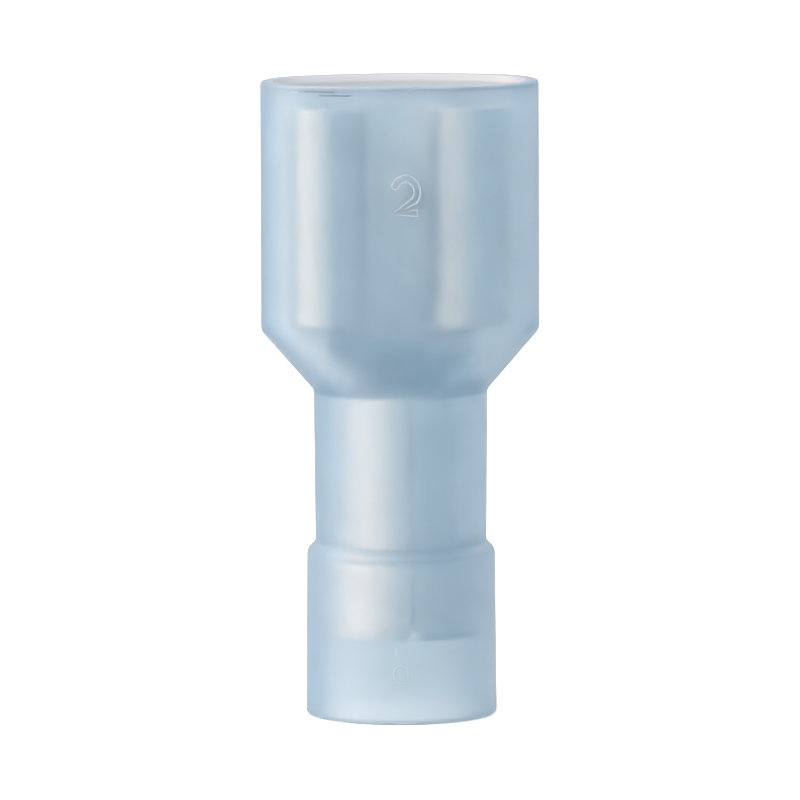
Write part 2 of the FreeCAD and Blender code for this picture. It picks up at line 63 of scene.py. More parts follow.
# %% Millimetres
MM = 0.001


def mesh_piece(name, vertices, faces, material_slot):
    """A mesh object in metres from points in millimetres, which rides on the frame."""
    mesh = bpy.data.meshes.new(name)
    mesh.from_pydata([tuple(value * MM for value in point) for point in vertices], [], faces)
    mesh.update()
    piece = bpy.data.objects.new(name, mesh)
    scene.collection.objects.link(piece)
    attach(piece, "root")
    return piece


def shade_smooth(piece, degrees):
    """Smooth shading that keeps every edge sharper than the given angle."""
    piece.data.shade_smooth()
    bpy.context.view_layer.objects.active = piece
    piece.select_set(True)
    bpy.ops.object.shade_smooth_by_angle(angle=math.radians(degrees))
    piece.select_set(False)


def spread(low, high, count):
    """Evenly spaced numbers from low to high, both ends included."""
    return [low + (high - low) * step / count for step in range(count + 1)]


def limited(number):
    """A number kept between 0 and 1."""
    return min(max(number, 0.0), 1.0)


def painted(piece, name, shares):
    """Writes a number on each point of a piece, for its material to read."""
    attribute = piece.data.attributes.new(name, "FLOAT", "POINT")
    attribute.data.foreach_set("value", shares)


print("One millimetre is", MM, "of Blender's metres")

# %% [markdown]
# ## The moulded housing
#
# On the real part this is one injection moulding. Its mouth is an oval made of four arcs, two
# gently crowned faces and two tighter ends, and a sloping shoulder leads from the oval to a
# round neck. It could be made with a loft in a CAD kernel or with a subdivision cage. Here
# every ring is worked out from the direction its wall faces, because a ring of directions
# gives parallel inner and outer walls for free: a wall's thickness is one number.

# %% Ring of directions
END_X = 2.8
END_RADIUS = 2.0
CROWN_RADIUS = 10.936
CROWN_Y = 8.486
MEET = math.acos(END_X / (CROWN_RADIUS - END_RADIUS))


def ring_directions():
    """Wall directions round the oval, closer together on the flat-looking faces."""
    right_end = spread(-MEET, MEET, 44)
    back_face = spread(MEET, math.pi - MEET, 28)
    left_end = spread(math.pi - MEET, math.pi + MEET, 44)
    front_face = spread(math.pi + MEET, 2 * math.pi - MEET, 28)
    return right_end[:-1] + back_face[:-1] + left_end[:-1] + front_face[:-1]


def wall_point(direction, level):
    """A point of a wall: a mix of the neck's circle and the mouth's oval."""
    height, share, neck_radius, inset = level[:4]
    across, deep = math.cos(direction), math.sin(direction)
    if abs(across) > math.cos(MEET) - 1e-9:
        centre, arc = (math.copysign(END_X, across), 0.0), END_RADIUS
    else:
        centre, arc = (0.0, -math.copysign(CROWN_Y, deep)), CROWN_RADIUS
    radius = share * (arc - inset) + (1 - share) * neck_radius
    return share * centre[0] + radius * across, share * centre[1] + radius * deep, height


directions = ring_directions()
print(len(directions), "points go round each ring of the housing")

# %% [markdown]
# The housing's wall is drawn as a list of levels, from the wire end up the outside, over the
# rim and down the inside. Each level says how much of the mouth's oval it has, how wide its
# circle is and how far it lies inside the oval. A corner of that line is never sharp on a
# moulding, so each level also says how far before and after it the corner is eased off.

# %% Levels of the wall
# height, share of the oval, radius of the circle, inset from the oval, reach of the easing
HOUSING_LEVELS = [
    (0.0, 0.0, 2.72, 0.0, 0.03),
    (0.0, 0.0, 3.2885, 0.0, 0.2),
    (5.72, 0.0, 3.24, 0.0, 0.15),
    (6.02, 0.0, 2.95, 0.0, 0.07),
    (11.265, 0.0, 2.995, 0.0, 0.12),
    (13.325, 1.0, 2.995, 0.0, 0.16),
    (21.95, 1.0, 2.995, 0.0, 0.1),
    (21.95, 1.0, 2.995, 0.45, 0.06),
    (21.75, 1.0, 2.07, 0.65, 0.06),
    (13.57, 1.0, 2.07, 0.65, 0.15),
    (11.196, 0.0, 2.07, 0.0, 0.08),
    (6.4, 0.0, 2.07, 0.0, 0.4),
    (5.3, 0.0, 2.62, 0.0, 0.4),
    (0.1, 0.0, 2.62, 0.0, 0.03),
]


def end_place(level):
    """Where a level's wall stands in a cut through the ends of the oval."""
    return Vector((wall_point(0.0, level)[0], level[0]))


def mix(first, second, amount):
    """Numbers an amount of the way from the first ones to the second ones."""
    return tuple(a + (b - a) * amount for a, b in zip(first, second))


def eased(levels, steps=5, stride=0.45):
    """The closed list of levels with every corner turned into a short curve."""
    count = len(levels)
    result = []
    for index, corner in enumerate(levels):
        before, after = levels[index - 1], levels[(index + 1) % count]
        reach = corner[4]
        back = reach / (end_place(corner) - end_place(before)).length
        ahead = reach / (end_place(after) - end_place(corner)).length
        start, finish = mix(corner, before, back), mix(corner, after, ahead)
        for step in range(steps + 1):
            part = step / steps
            result.append(mix(mix(start, corner, part), mix(corner, finish, part), part)[:4])
        room = (end_place(after) - end_place(corner)).length - reach - after[4]
        halts = max(1, round(room / stride))
        arrival = mix(after, corner, after[4] / (end_place(after) - end_place(corner)).length)
        for halt in range(1, halts):
            result.append(mix(finish, arrival, halt / halts)[:4])
    return result


housing_levels = eased(HOUSING_LEVELS)
print(len(housing_levels), "rings follow the housing's wall")

# %% Mesh of the housing
def ring_stack(levels):
    """Vertices and quads of rings that close on themselves both ways."""
    around, stacked = len(directions), len(levels)
    vertices = [wall_point(direction, level) for level in levels for direction in directions]
    faces = []
    for row in range(stacked):
        above = (row + 1) % stacked
        for column in range(around):
            beside = (column + 1) % around
            faces.append((row * around + column, row * around + beside,
                          above * around + beside, above * around + column))
    return vertices, faces


housing = mesh_piece("moulded_housing", *ring_stack(housing_levels), "blue_nylon")
shade_smooth(housing, 35)
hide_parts("insulating_housing")
print("The housing has", len(housing.data.polygons), "faces")

# %% [markdown]
# The core of the mould that shapes the mouth is rougher than the rest, so the first half
# millimetre inside the mouth looks frosted, and the edge of the rim a little too. A number on
# each point of the mesh says how much of that finish it has, and the nylon reads it later. A
# second material would do it too, but with a hard line between the two.

# %% Frosted mouth
FINISH = "mouth finish"
FROST_FOOT = 21.2
EDGE_FOOT = 21.8
EDGE_FROST = 0.35


def mouth_finish(level):
    """One just inside the mouth, less on the rim's edge and nothing elsewhere."""
    height, _, _, inset = level
    inside = limited((height - FROST_FOOT) / 0.4) * limited((inset - 0.15) / 0.3)
    return max(inside, EDGE_FROST * limited((height - EDGE_FOOT) / 0.1))


frost = [mouth_finish(level) for level in housing_levels for _ in directions]
painted(housing, FINISH, frost)
print(sum(share > 0 for share in frost), "points have some of the frosted finish")

# %% [markdown]
# ## The rolled receptacle
#
# The metal starts as one flat strip. A press rolls its two long edges into curls that grip
# the tab, and its other end into a round barrel for the wire. It could be modelled as a solid
# with rounded edges, but a strip of even thickness is best made as the strip itself: a sheet
# of no thickness, drawn along the middle of the metal, that a Solidify modifier then makes
# 0.4 mm thick and a Bevel modifier eases along its cut edges.
#
# A pressed part springs back a little when the tool opens. So the base bows back towards its
# open end, and the right curl ends in a wider arc than the left one. Both are a quarter of a
# millimetre or less, yet they decide where the metal catches the light.

# %% Section across the curls
STRIP = 0.4
CURL_X = 2.45
CURL_MIDDLE = 1.1
LIP = 0.05
RIGHT_WIDENING = 0.25
BASE_STEP = 0.09804
BASE_COLUMNS = 17


def curl_half(widening):
    """Middle line from the middle of the base to one lip, whose arc may reach further in."""
    half = [(BASE_STEP * column, CURL_MIDDLE) for column in range(BASE_COLUMNS + 1)]
    half += [(x, CURL_MIDDLE) for x in spread(half[-1][0], CURL_X, 6)[1:]]
    for angle in spread(90, -180, 40)[1:]:
        turn = math.radians(angle)
        across = CURL_MIDDLE + (widening if angle < -90 else 0.0)
        half.append((CURL_X + across * math.cos(turn), CURL_MIDDLE * math.sin(turn)))
    half.append((CURL_X - CURL_MIDDLE - widening, LIP))
    return half


def curl_section():
    """Middle line of the strip from the left lip over the base to the right lip."""
    return [(-x, y) for x, y in reversed(curl_half(0.0)[1:])] + curl_half(RIGHT_WIDENING)


curls = curl_section()
print(len(curls), "points cross the curls")

# %% Bow and detent of the base
RECEPTACLE_BACK = 13.55
RECEPTACLE_FRONT = 21.09
BASE_BOW = 0.2
BOW_LENGTH = 4.0
DETENT_HEIGHT = 17.79
DETENT_HALF = 0.85
DETENT_RISE = 0.28


def base_shift(x, z):
    """How far the base bows back, and forward again in the dome that snaps into the tab."""
    across = x / (BASE_STEP * BASE_COLUMNS)
    bow = BASE_BOW * limited((z - RECEPTACLE_BACK) / BOW_LENGTH) * limited(1 - across * across)
    away = math.hypot(x, z - DETENT_HEIGHT) / DETENT_HALF
    return bow - (DETENT_RISE * (1 - away * away) ** 1.5 if away < 1 else 0.0)


curl_rows = spread(RECEPTACLE_BACK, RECEPTACLE_FRONT, 70)
print("The curls have", len(curl_rows), "rows")

# %% [markdown]
# Behind the curls the strip is narrower, an open channel that lies in the housing's slope.
# Three sections of it are known, at the curls, at its bowl and at the barrel, and each section
# in between is a soft mix of its two neighbours. At the barrel the flanges grow round to the
# front in a small curve, the way a punch leaves a corner, until they meet in a seam.
#
# Shade is painted into the tin: darkest in the bowl, less low on the base and inside the left
# curl, and more to the left. The lip of the right curl is scuffed by the tool. Two more numbers
# on the points of the mesh say where.

# %% Section across the channel
# height, bend centre off the middle, bend radius, back, first and last angle, straight flange
CHANNEL = (RECEPTACLE_BACK, 1.85, 0.45, 1.1, 0.0, 88.0, 0.4)
BOWL = (12.3, 1.85, 0.5, 1.15, 0.0, 85.0, 0.4)
BARREL = (11.19, 0.0, 1.35, 1.35, 2.0, 115.0, 0.0)
BARREL_END = 5.404
SEAM_EDGE = 178.0
CORNER_REACH = 0.12
STRIP_HALF = 30


def between_sections(height):
    """The section at a height, a soft mix of the known ones above and below it."""
    upper, lower = (CHANNEL, BOWL) if height > BOWL[0] else (BOWL, BARREL)
    down = (upper[0] - height) / (upper[0] - lower[0])
    return (height, *mix(upper[1:], lower[1:], down * down * (3 - 2 * down)))


def wrapped(section, amount):
    """A section whose flanges have gone an amount of the way on to the seam."""
    last, flange = section[5:]
    return (*section[:5], last + (SEAM_EDGE - last) * amount, flange * (1 - amount))


def channel_section(section):
    """Middle line of the channel with evenly spaced points, from left lip to right lip."""
    _, bend_x, radius, back, first, last, flange = section
    first, last = math.radians(first), math.radians(last)
    flat = bend_x + radius * math.sin(first)
    bend = radius * (last - first)
    length = flat + bend + flange
    half = []
    for column in range(STRIP_HALF + 1):
        along = length * column / STRIP_HALF
        short = flat - min(along, flat)
        turn = first + min(max(along - flat, 0.0), bend) / radius
        past = max(along - flat - bend, 0.0)
        half.append((bend_x - short + radius * math.sin(turn) + past * math.cos(turn),
                     back - radius + radius * math.cos(turn) - past * math.sin(turn)))
    return [(-x, y) for x, y in reversed(half[1:])] + half


print("At the bowl the strip is", round(2 * channel_section(BOWL)[-1][0], 2), "mm wide")

# %% Rows of the channel
corner_top = BARREL[0] + CORNER_REACH
channel_rows = [between_sections(z) for z in spread(CHANNEL[0], BOWL[0], 8)]
channel_rows += [between_sections(z) for z in spread(BOWL[0], corner_top, 22)[1:]]
for turn in spread(0, math.pi / 2, 12)[1:]:
    section = between_sections(BARREL[0] + CORNER_REACH * (1 - math.sin(turn)))
    channel_rows.append(wrapped(section, 1 - math.cos(turn)))
barrel_rows = [(z, *BARREL[1:5], SEAM_EDGE, 0.0) for z in spread(BARREL[0], BARREL_END, 30)[1:]]
channel_rows += barrel_rows
print("The channel and barrel have", len(channel_rows), "rows")

# %% Mesh of the receptacle
def sheet(rows):
    """Vertices and quads of an open sheet, given as rows of equally many points."""
    width = len(rows[0])
    vertices = [point for row in rows for point in row]
    faces = []
    for row in range(len(rows) - 1):
        for column in range(width - 1):
            corner = row * width + column
            faces.append((corner, corner + 1, corner + width + 1, corner + width))
    return vertices, faces


def joined(first, second):
    """Two sheets as one list of vertices and one of faces."""
    shift = len(first[0])
    return first[0] + second[0], first[1] + [tuple(i + shift for i in f) for f in second[1]]


curl_sheet = sheet([[(x, y + (base_shift(x, z) if y > CURL_MIDDLE - 1e-6 else 0), z)
                     for x, y in curls] for z in reversed(curl_rows)])
channel_sheet = sheet([[(x, y, row[0]) for x, y in channel_section(row)] for row in channel_rows])
receptacle = mesh_piece("rolled_receptacle", *joined(curl_sheet, channel_sheet), "tinned_brass")
print("The receptacle's two sheets have", len(receptacle.data.vertices), "points")

# %% Thickness of the receptacle
def weld(piece, distance):
    """Merges the points where two sheets of one piece touch."""
    welded = bmesh.new()
    welded.from_mesh(piece.data)
    bmesh.ops.remove_doubles(welded, verts=welded.verts, dist=distance)
    welded.to_mesh(piece.data)
    welded.free()


def thicken(piece, thickness, edge):
    """Gives a sheet its thickness about its middle and eases its cut edges."""
    solid = piece.modifiers.new("strip thickness", "SOLIDIFY")
    solid.thickness = thickness * MM
    solid.offset = 0.0
    solid.use_even_offset = True
    eased_edges = piece.modifiers.new("eased cut edges", "BEVEL")
    eased_edges.width = edge * MM
    eased_edges.segments = 2
    eased_edges.limit_method = "ANGLE"
    eased_edges.angle_limit = math.radians(50)


weld(receptacle, distance=0.004 * MM)
shade_smooth(receptacle, 40)
thicken(receptacle, STRIP, edge=0.05)
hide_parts("receptacle_terminal")
print("Once welded, the sheet has", len(receptacle.data.vertices), "points")

# %% Painted shade and scuffed tin
PAINTED_DARKENING = "painted shade and darker end"
SCUFFED = "scuffed metal"
BASE_PAINTED_SHADE = 0.45
CURL_PAINTED_SHADE = 0.3


def painted_shade_share(point):
    """Painted shade on the tin: most in the bowl, less low on the base and in the left curl."""
    x, y, z = point / MM
    beyond = z - RECEPTACLE_BACK
    if beyond < 0:
        share = BASE_PAINTED_SHADE - (1 - BASE_PAINTED_SHADE) * beyond / 1.3
    elif abs(x) < 1.7 and y > 1.05:
        share = BASE_PAINTED_SHADE * limited(1 - beyond / 5.5)
    elif x < 0 and y < 0:
        share = CURL_PAINTED_SHADE * limited((x + 2.6) / 0.4)
    else:
        share = 0.0
    # Painted shade grows to the left, where the left curl keeps the light off the base.
    return min(share * (1 - 0.2 * x), 1.0)


def scuffed_share(point):
    """How much rougher the tin is: only where the right curl turns in to its lip."""
    x, y, z = point / MM
    on_flank = x > 0.8 and y < 0.4 and z > RECEPTACLE_BACK
    return limited((1.5 - x) / 0.4) if on_flank else 0.0


# Painted shade on the receptacle, and where its tin is scuffed.
painted_shade = [painted_shade_share(vertex.co) for vertex in receptacle.data.vertices]
scuffed = [scuffed_share(vertex.co) for vertex in receptacle.data.vertices]
painted(receptacle, PAINTED_DARKENING, painted_shade)
painted(receptacle, SCUFFED, scuffed)
print(sum(share > 0 for share in scuffed), "points of the receptacle are scuffed")

# %% [markdown]
# ## The support sleeve
#
# A second strip is rolled round the barrel and stepped out below it, where it holds the
# wire's insulation once it is crimped. Its edges meet in a butt seam at the front, tight round
# the barrel, which opens in a small notch at the flared end. It is a sheet of revolution, cut
# open along the seam, and gets its thickness in the same way as the receptacle.

# %% Line of the sleeve
SLEEVE_WALL = 0.45
# height, radius of the middle of the metal, reach of the easing
SLEEVE_LINE = [(2.82, 2.375, 0.0), (3.72, 2.262, 0.1), (4.1, 2.275, 0.12), (5.347, 2.275, 0.16),
               (5.827, 1.795, 0.16), (11.146, 1.795, 0.0)]


def eased_line(corners, steps=4, stride=0.35):
    """An open line of heights and radii with its inner corners turned into curves."""
    line = []
    for index, (z, r, reach) in enumerate(corners):
        place = Vector((z, r))
        if line:
            start = line[-1]
            gap = (place - start).length - reach
            halts = max(1, round(gap / stride))
            line += [start.lerp(start + (place - start).normalized() * gap, halt / halts)
                     for halt in range(1, halts + 1)]
        if reach:
            following = Vector(corners[index + 1][:2])
            before, after = line[-1], place + (following - place).normalized() * reach
            line += [before.lerp(place, s / steps).lerp(place.lerp(after, s / steps), s / steps)
                     for s in range(1, steps + 1)]
        elif not line:
            line.append(place)
    return line


sleeve_line = eased_line(SLEEVE_LINE)
print("The sleeve's line has", len(sleeve_line), "places")

# %% Mesh of the sleeve
SLEEVE_END = SLEEVE_LINE[0][0]
SEAM_ANGLE = -84.0
SEAM_HALF = 0.05
TIGHT_HALF = 0.004
NOTCH_HALF = 0.25
NOTCH_HEIGHT = 0.42
END_DARKENING = 0.3


def seam_half_width(height):
    """Half the width of the seam, tight round the barrel and opening in a notch at its end."""
    notch = max(0.0, 1 - (height - SLEEVE_END) / NOTCH_HEIGHT)
    tight = limited((height - 3.4) / 0.8)
    return SEAM_HALF + (NOTCH_HALF - SEAM_HALF) * notch - (SEAM_HALF - TIGHT_HALF) * tight


def sleeve_rows():
    """Rows round the sleeve from one side of its seam to the other, closer at the notch."""
    start, following = (Vector(corner[:2]) for corner in SLEEVE_LINE[:2])
    length = (following - start).x
    notch_rows = [start.lerp(following, NOTCH_HEIGHT * k / 5 / length) for k in range(1, 6)]
    beyond = [place for place in sleeve_line[1:] if place.x > notch_rows[-1].x]
    rows = []
    for height, radius in [sleeve_line[0]] + notch_rows + beyond:
        opening = math.degrees(seam_half_width(height) / radius)
        turns = [math.radians(turn)
                 for turn in spread(SEAM_ANGLE + opening, SEAM_ANGLE + 360 - opening, 120)]
        rows.append([(radius * math.cos(turn), radius * math.sin(turn), height) for turn in turns])
    return rows


def end_share(point):
    """How much darker the tin is made towards the sleeve's cut end."""
    return END_DARKENING * max(0.0, 1 - (point.z / MM - SLEEVE_END) / 0.45)


sleeve = mesh_piece("rolled_sleeve", *sheet(sleeve_rows()), "tinned_copper")
# The sleeve's tin is made darker towards its cut end.
painted(sleeve, PAINTED_DARKENING, [end_share(vertex.co) for vertex in sleeve.data.vertices])
shade_smooth(sleeve, 40)
thicken(sleeve, SLEEVE_WALL, edge=0.012)
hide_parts("support_sleeve")
print("The sleeve's sheet has", len(sleeve.data.polygons), "faces")

# %% [markdown]
# ## Marks of the mould
#
# The real moulding carries a raised digit on its front face, which names the cavity of the
# mould it came from, and a small round vestige where the nylon flowed in, with a short flow
# line above it. Under the rim, two fine dark lines are painted shade along its inner edge and a
# short pale one is a painted highlight there. All of them stand only a few hundredths of a
# millimetre proud. A text object could make the digit, but its fonts are solid and flat, while
# the real strokes are thin raised outlines, so each mark is drawn point by point and a fine bead
# is swept along it.

# %% Outline of the digit
DIGIT_CENTRE = (0.06, 18.2)
DIGIT_STRETCH = (0.8, 0.95)
DIGIT_TOP = 1.3
STROKE_HALF = 0.13


def digit_middle_line():
    """Middle line of a plain 2, one unit wide and 1.3 units high."""
    line = [(0.5 * math.cos(math.radians(a)), 0.8 + 0.5 * math.sin(math.radians(a)))
            for a in spread(165, -35, 16)]
    return line + [(-0.44, 0.04), (0.5, 0.04)]


def outline_of(line, half):
    """Both sides of a stroke, as one closed line round it."""
    sides = [[], []]
    for index, (x, z) in enumerate(line):
        before, after = line[max(index - 1, 0)], line[min(index + 1, len(line) - 1)]
        along = Vector((after[0] - before[0], after[1] - before[1])).normalized()
        sides[0].append((x - along.y * half, z + along.x * half))
        sides[1].append((x + along.y * half, z - along.x * half))
    return sides[0] + sides[1][::-1]


digit_outline = [(DIGIT_CENTRE[0] + DIGIT_STRETCH[0] * x,
                  DIGIT_CENTRE[1] + DIGIT_STRETCH[1] * (z - DIGIT_TOP / 2))
                 for x, z in outline_of(digit_middle_line(), STROKE_HALF)]
print("The digit's outline has", len(digit_outline), "points")

# %% Bead of the digit
# radius and how far it is sunk into the wall
DIGIT_BEAD = (0.05, 0.015)


def bead(name, places, radius, sunk):
    """A closed bead along places on the front, sunk a little into the wall."""
    curve = bpy.data.curves.new(name, "CURVE")
    curve.dimensions = "3D"
    curve.bevel_depth = radius * MM
    curve.bevel_resolution = 2
    spline = curve.splines.new("POLY")
    spline.points.add(len(places) - 1)
    for point, (x, y, z) in zip(spline.points, places):
        point.co = (x * MM, (y + sunk) * MM, z * MM, 1)
    spline.use_cyclic_u = True
    swept = bpy.data.objects.new(name + "_line", curve)
    scene.collection.objects.link(swept)
    graph = bpy.context.evaluated_depsgraph_get()
    mesh = bpy.data.meshes.new_from_object(swept.evaluated_get(graph))
    bpy.data.objects.remove(swept)
    piece = bpy.data.objects.new(name, mesh)
    scene.collection.objects.link(piece)
    piece.data.shade_smooth()
    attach(piece, "root")
    return piece


def mouth_front(x):
    """How far forward the mouth's wall lies at a place across it."""
    if abs(x) < CROWN_RADIUS * math.cos(MEET):
        return CROWN_Y - math.sqrt(CROWN_RADIUS ** 2 - x * x)
    return -math.sqrt(END_RADIUS ** 2 - (abs(x) - END_X) ** 2)


digit = bead("moulded_digit", [(x, mouth_front(x), z) for x, z in digit_outline], *DIGIT_BEAD)
print("The digit's bead has", len(digit.data.polygons), "faces")

# %% Gate vestige and flow line
GATE_CENTRE = (-0.21, 1.76)
GATE_HALF = (0.25, 0.32)
GATE_BEAD = (0.045, 0.034)
FLOW_X = -0.37
FLOW_ENDS = (2.35, 2.7)
FLOW_BEAD = (0.035, 0.022)


def entry_front(x, z):
    """How far forward the wire entry's wall lies at a place across it."""
    (_, _, foot, *_), (top, _, head, *_) = HOUSING_LEVELS[1:3]
    radius = foot + (head - foot) * z / top
    return -math.sqrt(radius * radius - x * x)


gate_places = []
for turn in spread(0, 2 * math.pi, 20)[:-1]:
    x = GATE_CENTRE[0] + GATE_HALF[0] * math.cos(turn)
    z = GATE_CENTRE[1] + GATE_HALF[1] * math.sin(turn)
    gate_places.append((x, entry_front(x, z), z))
gate = bead("gate_vestige", gate_places, *GATE_BEAD)
flow_places = [(FLOW_X, entry_front(FLOW_X, z), z) for z in FLOW_ENDS]
flow = bead("flow_line", flow_places, *FLOW_BEAD)
print("Marks on the wire entry:", gate.name, "and", flow.name)

# %% Painted shade and highlight lines under the rim
RIM_LINE_BEAD = (0.03, 0.018)


def rim_line(name, start, finish):
    """A fine bead between two ends on the mouth, each a place across it and a height."""
    line = [mix(start, finish, share) for share in spread(0, 1, 12)]
    return bead(name, [(x, mouth_front(x), z) for x, z in line], *RIM_LINE_BEAD)


# Fine raised lines along the rim's inner edge: two dark ones of painted shade and a pale one of
# painted highlight.
upper_shade_line = rim_line("rim_shade_line_upper", (-3.4, 21.8), (-2.35, 21.78))
lower_shade_line = rim_line("rim_shade_line_lower", (-2.9, 21.67), (-1.8, 21.67))
rim_highlight = rim_line("rim_highlight_line", (-3.88, 21.78), (-3.58, 21.76))
print("Marks under the rim:", upper_shade_line.name, lower_shade_line.name, "and", rim_highlight.name)

# %% [markdown]
# ## Effects that several finishes share
#
# Nothing on a moulded or rolled part is perfectly even. One node group gives a soft cloudy
# pattern, and both the nylon and the metals use it with their own sizes. It could be copied
# into each material, but a group keeps one place to change it.

# %% Cloudy pattern
def new_group(name, inputs, outputs):
    """A shader node group with the given sockets, each a name, a type and a start value."""
    group = bpy.data.node_groups.new(name, "ShaderNodeTree")
    for socket, kind, value in inputs:
        made = group.interface.new_socket(socket, in_out="INPUT", socket_type=kind)
        if value is not None:
            made.default_value = value
    for socket, kind in outputs:
        group.interface.new_socket(socket, in_out="OUTPUT", socket_type=kind)
    entry = group.nodes.new("NodeGroupInput")
    leave = group.nodes.new("NodeGroupOutput")
    return group, entry, leave


def math_node(tree, operation, *values):
    """A Math node; a value is a number or a socket."""
    node = tree.nodes.new("ShaderNodeMath")
    node.operation = operation
    for socket, value in zip(node.inputs, values):
        if isinstance(value, (int, float)):
            socket.default_value = value
        else:
            tree.links.new(value, socket)
    return node.outputs[0]


def cloud_group():
    """A soft noise sized in millimetres, as a factor and as a small shift about nought."""
    group, entry, leave = new_group(
        "cloudy pattern",
        [("Size", "NodeSocketFloat", 1.0), ("Stretch", "NodeSocketVector", (1, 1, 1)),
         ("Detail", "NodeSocketFloat", 3.0), ("Amount", "NodeSocketFloat", 0.2)],
        [("Factor", "NodeSocketFloat"), ("Shift", "NodeSocketFloat")])
    place = group.nodes.new("ShaderNodeTexCoord").outputs["Object"]
    stretch = group.nodes.new("ShaderNodeVectorMath")
    stretch.operation = "MULTIPLY"
    group.links.new(place, stretch.inputs[0])
    group.links.new(entry.outputs["Stretch"], stretch.inputs[1])
    noise = group.nodes.new("ShaderNodeTexNoise")
    group.links.new(stretch.outputs[0], noise.inputs["Vector"])
    per_metre = math_node(group, "DIVIDE", 1 / MM, entry.outputs["Size"])
    group.links.new(per_metre, noise.inputs["Scale"])
    group.links.new(entry.outputs["Detail"], noise.inputs["Detail"])
    group.links.new(noise.outputs["Fac"], leave.inputs["Factor"])
    centred = math_node(group, "SUBTRACT", noise.outputs["Fac"], 0.5)
    group.links.new(math_node(group, "MULTIPLY", centred, entry.outputs["Amount"]),
                    leave.inputs["Shift"])
    return group


cloudy = cloud_group()
print("Node group:", cloudy.name)

# %% Helpers of the materials
def new_material(name):
    """A material, with its node tree and its Principled shader."""
    material = bpy.data.materials.new(name)
    material.use_nodes = True
    tree = material.node_tree
    shader = tree.nodes["Principled BSDF"]
    return material, tree, shader


def place_group(tree, group, **values):
    """A group placed in a tree, with values for its sockets."""
    node = tree.nodes.new("ShaderNodeGroup")
    node.node_tree = group
    for name, value in values.items():
        node.inputs[name].default_value = value
    return node


def tinted(tree, factor, low, high):
    """A colour between two, following a factor that varies over the surface."""
    ramp = tree.nodes.new("ShaderNodeValToRGB")
    ramp.color_ramp.elements[0].position, ramp.color_ramp.elements[1].position = 0.3, 0.7
    ramp.color_ramp.elements[0].color = (*low, 1)
    ramp.color_ramp.elements[1].color = (*high, 1)
    tree.links.new(factor, ramp.inputs[0])
    return ramp.outputs[0]


def bumped(tree, height, strength, distance):
    """A normal that follows a height varying over the surface."""
    bump = tree.nodes.new("ShaderNodeBump")
    bump.inputs["Strength"].default_value = strength
    bump.inputs["Distance"].default_value = distance
    tree.links.new(height, bump.inputs["Height"])
    return bump.outputs[0]


def point_number(tree, name):
    """The number that a mesh has on its points under a name."""
    node = tree.nodes.new("ShaderNodeAttribute")
    node.attribute_name = name
    return node.outputs["Fac"]


def blended(tree, share, colour, other):
    """The colour of a socket, going over to another colour as a share grows to 1."""
    node = tree.nodes.new("ShaderNodeMix")
    node.data_type = "RGBA"
    node.inputs["B"].default_value = (*other, 1)
    tree.links.new(share, node.inputs["Factor"])
    tree.links.new(colour, node.inputs["A"])
    return node.outputs["Result"]


print("A material reads", FINISH + ",", PAINTED_DARKENING, "or", SCUFFED, "from the mesh")

# %% [markdown]
# ## Nylon
#
# Nylon is neither clear nor opaque. Most of the light goes through a wall, scattered a little
# by its semi-matt skin, and a small part comes back from inside it as a pale blue veil. One
# Principled shader could do both, but it has one colour for the two, and here the light that
# goes through stays nearly white while the veil is blue. So the glassy part and the milky
# part are two shaders, and a Mix Shader says how much milk there is.

# %% Nylon material
NYLON_IOR = 1.53
NYLON_ROUGHNESS = 0.34
CLEAR_LOW, CLEAR_HIGH = (0.95, 0.91, 0.83), (0.98, 0.95, 0.88)
DEPTH_COLOUR, DEPTH_DENSITY = (0.45, 0.75, 0.93), 150.0
FROST_COLOUR = (0.48, 0.51, 0.57)
FROST_MILK = 0.4


def nylon_material(name, milk_share, low, high):
    """Cloudy nylon, from its share of milk and the two colours that the milk goes between."""
    material, tree, glassy = new_material(name)
    cloud = place_group(tree, cloudy, Size=1.6, Detail=2.0, Amount=0.06)
    skin = place_group(tree, cloudy, Size=0.3, Detail=1.0, Amount=1.0)
    roughness = math_node(tree, "ADD", cloud.outputs["Shift"], NYLON_ROUGHNESS)
    skin_normal = bumped(tree, skin.outputs["Factor"], 0.06, 0.01 * MM)
    tree.links.new(tinted(tree, cloud.outputs["Factor"], CLEAR_LOW, CLEAR_HIGH),
                   glassy.inputs["Base Color"])
    glassy.inputs["Transmission Weight"].default_value = 1.0
    milky = tree.nodes.new("ShaderNodeBsdfPrincipled")
    frosted = point_number(tree, FINISH)
    veil = tinted(tree, cloud.outputs["Factor"], low, high)
    tree.links.new(blended(tree, frosted, veil, FROST_COLOUR), milky.inputs["Base Color"])
    for shader in (glassy, milky):
        shader.inputs["IOR"].default_value = NYLON_IOR
        tree.links.new(roughness, shader.inputs["Roughness"])
        tree.links.new(skin_normal, shader.inputs["Normal"])
    both = tree.nodes.new("ShaderNodeMixShader")
    share = math_node(tree, "MULTIPLY_ADD", frosted, FROST_MILK, milk_share)
    tree.links.new(math_node(tree, "ADD", share, cloud.outputs["Shift"]), both.inputs[0])
    tree.links.new(glassy.outputs[0], both.inputs[1])
    tree.links.new(milky.outputs[0], both.inputs[2])
    output = tree.nodes["Material Output"]
    tree.links.new(both.outputs[0], output.inputs["Surface"])
    absorb = tree.nodes.new("ShaderNodeVolumeAbsorption")
    absorb.inputs["Color"].default_value = (*DEPTH_COLOUR, 1)
    absorb.inputs["Density"].default_value = DEPTH_DENSITY
    tree.links.new(absorb.outputs[0], output.inputs["Volume"])
    return material


nylon = nylon_material("milky blue nylon", 0.23, (0.36, 0.67, 0.97), (0.42, 0.72, 0.99))
mark_nylon = nylon_material("raised nylon marks", 0.4, (0.6, 0.78, 0.92), (0.68, 0.82, 0.94))
